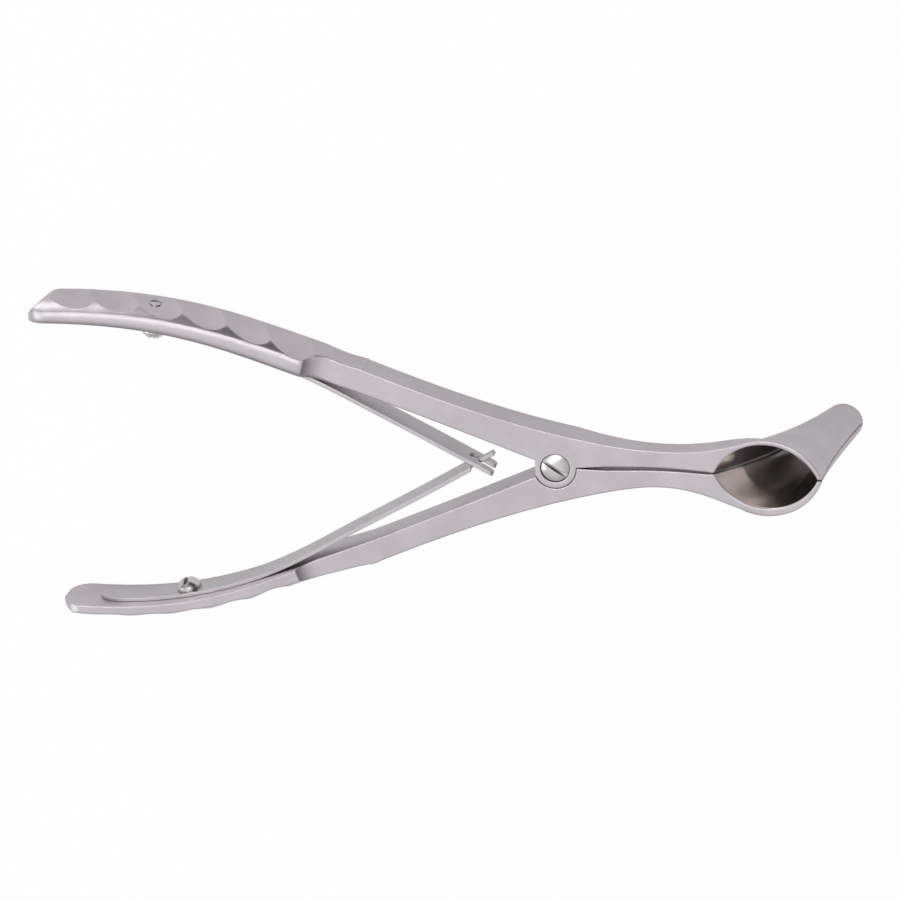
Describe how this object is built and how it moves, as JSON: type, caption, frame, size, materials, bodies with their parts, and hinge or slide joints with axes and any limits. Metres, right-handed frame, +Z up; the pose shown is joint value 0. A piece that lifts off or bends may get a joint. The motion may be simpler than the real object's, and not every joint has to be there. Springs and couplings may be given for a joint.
{
  "type": "nasal speculum",
  "caption": "Plier-type nasal speculum with half-funnel blades, a screw lap joint, grooved finger grips and crossed leaf springs that hold the blades closed.",
  "frame": {"origin": "centre of the bottom of the bounding box, on the table it lies on", "axes": "+X from the grips to the blades, +Y towards the upper arm, +Z up from the table"},
  "size_m": [0.1596, 0.0674, 0.0323],
  "materials": {
    "satin_steel": "satin",
    "spring_steel": "satin",
    "bright_steel": "polished"
  },
  "bodies": {
    "lower_half": {"lower_arm": "satin_steel", "pivot_screw": "bright_steel", "lower_spring": "spring_steel", "lower_spring_screw": "bright_steel"},
    "upper_half": {"upper_arm": "satin_steel", "upper_spring": "spring_steel", "upper_spring_screw": "bright_steel"}
  },
  "joints": [
    {"name": "handle_squeeze", "type": "hinge", "parent": "lower_half", "child": "upper_half", "pos_m": [0.01997, -0.00115, 0.02058], "axis": [-0.1217, 0, 0.9926], "range_deg": [0, 22], "stiffness_Nm_per_rad": 1.2, "springref_deg": -14.32, "deforming": ["upper_spring", "lower_spring"]}
  ]
}
